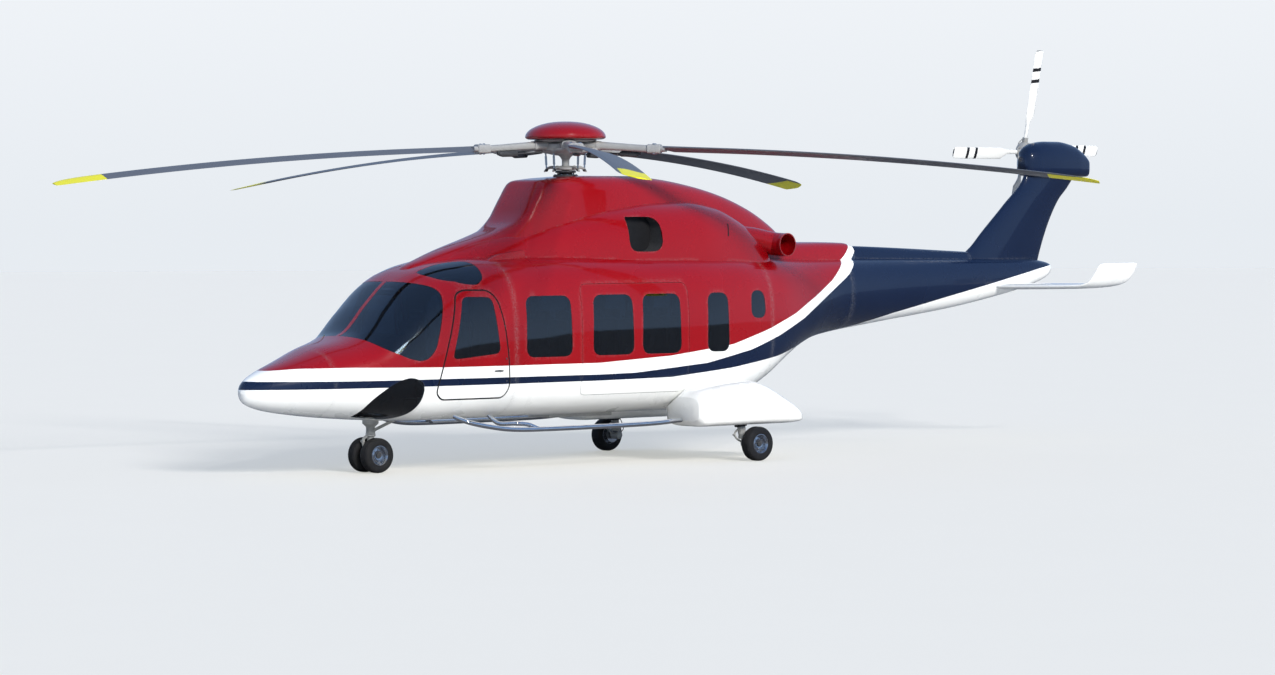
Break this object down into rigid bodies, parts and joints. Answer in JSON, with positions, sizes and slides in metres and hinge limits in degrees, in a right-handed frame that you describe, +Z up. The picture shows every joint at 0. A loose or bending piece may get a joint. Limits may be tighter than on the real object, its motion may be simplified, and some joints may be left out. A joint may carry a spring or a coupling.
{
  "type": "twin-engine utility helicopter",
  "caption": "Medium helicopter on wheels, with a turning main rotor and tail rotor, steered nose wheels, opening cockpit doors and a hollow cockpit and cabin.",
  "frame": {"origin": "centre of the belly hook plate's lower face, straight below the main rotor's axis", "axes": "+Z up, -Y towards the nose and +Y towards the tail, +X to port"},
  "size_m": [13.7157, 18.605, 5.999],
  "materials": {
    "red_paint": "gloss",
    "white_paint": "gloss",
    "navy_paint": "gloss",
    "tinted_glass": "gloss",
    "blade_composite": "satin",
    "hub_metal": "satin",
    "engine_metal": "satin",
    "polished_tube": "polished",
    "tyre_rubber": "matte",
    "gear_paint": "satin",
    "black_trim": "matte",
    "seat_cloth": "matte"
  },
  "bodies": {
    "root": {"nose_cone": "white_paint", "cockpit_shell": "red_paint", "cabin_shell": "red_paint", "underfloor": "white_paint", "rear_fuselage": "red_paint", "tail_boom": "navy_paint", "windscreen_port": "tinted_glass", "windscreen_starboard": "tinted_glass", "overhead_window_port": "tinted_glass", "overhead_window_starboard": "tinted_glass", "chin_window_port": "tinted_glass", "chin_window_starboard": "tinted_glass", "side_glass_port": "tinted_glass", "side_glass_starboard": "tinted_glass", "rotor_pylon": "red_paint", "engine_cowling_port": "red_paint", "engine_cowling_starboard": "red_paint", "rear_deck_fairing": "red_paint", "drive_shaft_cover": "navy_paint", "engine_port": "engine_metal", "engine_starboard": "engine_metal", "main_gearbox": "hub_metal", "tail_fin": "navy_paint", "stabiliser": "white_paint", "cabin_door_port": "red_paint", "cabin_door_starboard": "red_paint", "sponson_port": "white_paint", "sponson_starboard": "white_paint", "main_leg_port": "gear_paint", "main_leg_starboard": "gear_paint", "step_port": "polished_tube", "step_starboard": "polished_tube", "nose_leg": "gear_paint", "instrument_panel": "black_trim", "pilot_seat_port": "seat_cloth", "pilot_seat_starboard": "seat_cloth", "cabin_seats_row_1": "seat_cloth", "cabin_seats_row_2": "seat_cloth", "cabin_seats_row_3": "seat_cloth", "belly_hook_plate": "gear_paint"},
    "main_rotor": {"rotor_hub": "hub_metal", "rotor_dome": "red_paint", "main_blade_1": "blade_composite", "main_blade_2": "blade_composite", "main_blade_3": "blade_composite", "main_blade_4": "blade_composite", "main_blade_5": "blade_composite"},
    "tail_rotor": {"tail_rotor_hub": "hub_metal", "tail_blades_vertical": "white_paint", "tail_blades_level": "white_paint"},
    "cockpit_door_port": {"cockpit_door_port": "red_paint", "door_window_port": "tinted_glass"},
    "cockpit_door_starboard": {"cockpit_door_starboard": "red_paint", "door_window_starboard": "tinted_glass"},
    "nose_fork": {"nose_fork": "gear_paint"},
    "nose_wheels": {"nose_wheel_port": "tyre_rubber", "nose_wheel_starboard": "tyre_rubber"},
    "main_wheel_port": {"main_wheel_port": "tyre_rubber"},
    "main_wheel_starboard": {"main_wheel_starboard": "tyre_rubber"}
  },
  "joints": [
    {"name": "main_rotor_spin", "type": "hinge", "parent": "root", "child": "main_rotor", "pos_m": [0, 0, 3.73], "axis": [0, 0, 1], "continuous": true},
    {"name": "tail_rotor_spin", "type": "hinge", "parent": "root", "child": "tail_rotor", "pos_m": [-0.62, 9.8, 3.78], "axis": [-0.9781, 0, 0.2079], "continuous": true},
    {"name": "nose_steer", "type": "hinge", "parent": "root", "child": "nose_fork", "pos_m": [0, -3.38, -0.126], "axis": [0, 0, 1], "range_deg": [-60, 60]},
    {"name": "nose_wheels_roll", "type": "hinge", "parent": "nose_fork", "child": "nose_wheels", "pos_m": [0, -3.38, -0.405], "axis": [1, 0, 0], "continuous": true},
    {"name": "main_wheel_port_roll", "type": "hinge", "parent": "root", "child": "main_wheel_port", "pos_m": [1.65, 2.09, -0.4], "axis": [1, 0, 0], "continuous": true},
    {"name": "main_wheel_starboard_roll", "type": "hinge", "parent": "root", "child": "main_wheel_starboard", "pos_m": [-1.65, 2.09, -0.4], "axis": [1, 0, 0], "continuous": true},
    {"name": "cockpit_door_port_swing", "type": "hinge", "parent": "root", "child": "cockpit_door_port", "pos_m": [1.1, -3.07, 0.54], "axis": [0.0319, -0.263, -0.9643], "range_deg": [0, 80]},
    {"name": "cockpit_door_starboard_swing", "type": "hinge", "parent": "root", "child": "cockpit_door_starboard", "pos_m": [-1.1, -3.07, 0.54], "axis": [0.0319, 0.263, 0.9643], "range_deg": [0, 80]}
  ]
}
